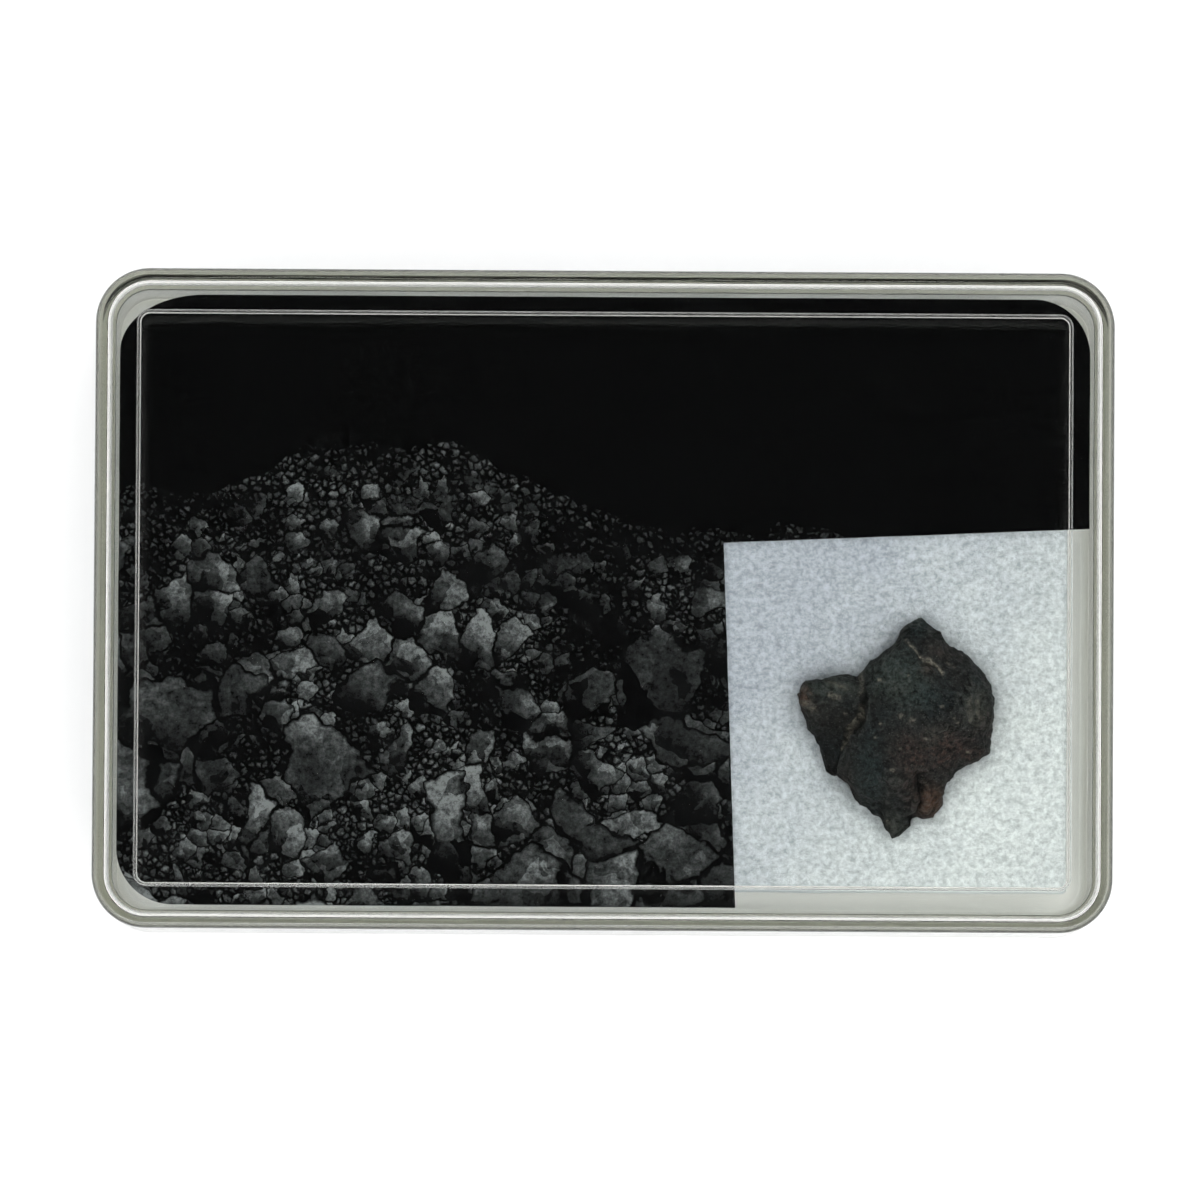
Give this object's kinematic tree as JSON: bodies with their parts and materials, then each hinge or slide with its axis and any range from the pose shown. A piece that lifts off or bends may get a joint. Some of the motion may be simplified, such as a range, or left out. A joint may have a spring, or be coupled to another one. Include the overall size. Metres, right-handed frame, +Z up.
{
  "type": "chondrite meteorite in a clear display case",
  "caption": "Flat clear plastic display case with round corners, holding a dark broken stone on white foam in the window of a dark printed card.",
  "frame": {"origin": "centre of the underside of the case", "axes": "+X along the long side, +Y towards the upper edge of the card as it is looked at, +Z up through the lid"},
  "size_m": [0.09, 0.0582, 0.018],
  "materials": {
    "clear_plastic": "polished",
    "white_foam": "matte",
    "printed_card": "satin",
    "dark_stone": "matte"
  },
  "bodies": {
    "root": {"case_base": "clear_plastic", "case_lid": "clear_plastic", "foam_pad": "white_foam", "label_card": "printed_card", "meteorite": "dark_stone"}
  },
  "joints": []
}
